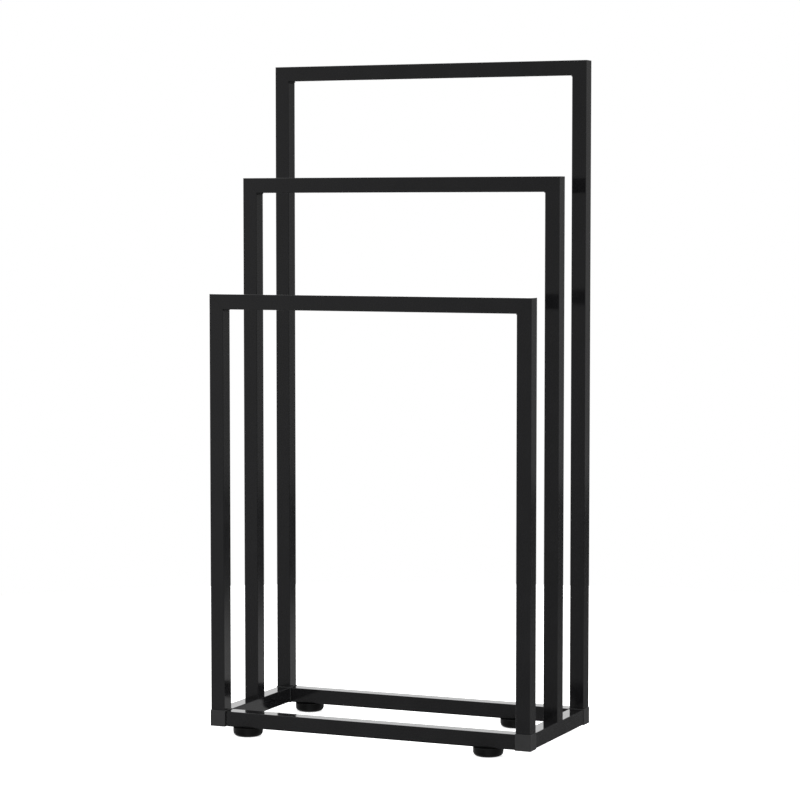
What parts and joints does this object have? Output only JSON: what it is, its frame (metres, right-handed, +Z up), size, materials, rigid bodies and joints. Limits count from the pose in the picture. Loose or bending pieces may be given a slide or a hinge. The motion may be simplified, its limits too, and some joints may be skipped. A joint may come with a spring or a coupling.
{
  "type": "towel rack",
  "caption": "Free-standing three-tier towel rack: black square-tube frames of rising height on a rectangular base with moulded corner connectors and round screw-in feet.",
  "frame": {"origin": "on the floor, under the middle of the rack's plan", "axes": "+Z up, +X to the right as seen from the front, -Y towards the front (lowest) bar"},
  "size_m": [0.4556, 0.2394, 0.893],
  "materials": {
    "coated_tube": "semi-gloss black powder coat on steel",
    "connector_plastic": "fine matte moulded plastic",
    "foot_plastic": "smooth moulded black plastic",
    "sole_rubber": "matte rubber",
    "zinc_steel": "bright zinc plate"
  },
  "bodies": {
    "frame": {"front_rail": "coated_tube", "rear_rail": "coated_tube", "left_side_rail": "coated_tube", "right_side_rail": "coated_tube", "front_post_left": "coated_tube", "front_post_right": "coated_tube", "front_bar": "coated_tube", "middle_post_left": "coated_tube", "middle_post_right": "coated_tube", "middle_bar": "coated_tube", "rear_post_left": "coated_tube", "rear_post_right": "coated_tube", "rear_bar": "coated_tube", "corner_front_left": "connector_plastic", "corner_front_right": "connector_plastic", "corner_rear_left": "connector_plastic", "corner_rear_right": "connector_plastic", "middle_post_plug_left": "connector_plastic", "middle_post_plug_right": "connector_plastic", "middle_post_bolts": "zinc_steel", "middle_post_washers": "zinc_steel", "foot_rivet_nuts": "zinc_steel"},
    "foot_front_left": {"foot_shell_front_left": "foot_plastic", "foot_sole_front_left": "sole_rubber"},
    "stud_front_left": {"foot_stud_front_left": "zinc_steel"},
    "foot_front_right": {"foot_shell_front_right": "foot_plastic", "foot_sole_front_right": "sole_rubber"},
    "stud_front_right": {"foot_stud_front_right": "zinc_steel"},
    "foot_rear_left": {"foot_shell_rear_left": "foot_plastic", "foot_sole_rear_left": "sole_rubber"},
    "stud_rear_left": {"foot_stud_rear_left": "zinc_steel"},
    "foot_rear_right": {"foot_shell_rear_right": "foot_plastic", "foot_sole_rear_right": "sole_rubber"},
    "stud_rear_right": {"foot_stud_rear_right": "zinc_steel"}
  },
  "joints": [
    {"name": "front_left_foot_height", "type": "slide", "parent": "frame", "child": "foot_front_left", "axis": [0, 0, -1], "range_m": [0, 0.006]},
    {"name": "front_left_stud_turn", "type": "hinge", "parent": "foot_front_left", "child": "stud_front_left", "pos_m": [-0.177, -0.1, 0.012], "axis": [0, 0, -1], "range_deg": [0, 2160]},
    {"name": "front_right_foot_height", "type": "slide", "parent": "frame", "child": "foot_front_right", "axis": [0, 0, -1], "range_m": [0, 0.006]},
    {"name": "front_right_stud_turn", "type": "hinge", "parent": "foot_front_right", "child": "stud_front_right", "pos_m": [0.166, -0.1, 0.012], "axis": [0, 0, -1], "range_deg": [0, 2160]},
    {"name": "rear_left_foot_height", "type": "slide", "parent": "frame", "child": "foot_rear_left", "axis": [0, 0, -1], "range_m": [0, 0.006]},
    {"name": "rear_left_stud_turn", "type": "hinge", "parent": "foot_rear_left", "child": "stud_rear_left", "pos_m": [-0.1814, 0.1, 0.012], "axis": [0, 0, -1], "range_deg": [0, 2160]},
    {"name": "rear_right_foot_height", "type": "slide", "parent": "frame", "child": "foot_rear_right", "axis": [0, 0, -1], "range_m": [0, 0.006]},
    {"name": "rear_right_stud_turn", "type": "hinge", "parent": "foot_rear_right", "child": "stud_rear_right", "pos_m": [0.125, 0.1, 0.012], "axis": [0, 0, -1], "range_deg": [0, 2160]}
  ],
  "couplings": [
    {"joint": "front_left_stud_turn", "follows": "front_left_foot_height", "rad_per_m": 6283.2},
    {"joint": "front_right_stud_turn", "follows": "front_right_foot_height", "rad_per_m": 6283.2},
    {"joint": "rear_left_stud_turn", "follows": "rear_left_foot_height", "rad_per_m": 6283.2},
    {"joint": "rear_right_stud_turn", "follows": "rear_right_foot_height", "rad_per_m": 6283.2}
  ]
}
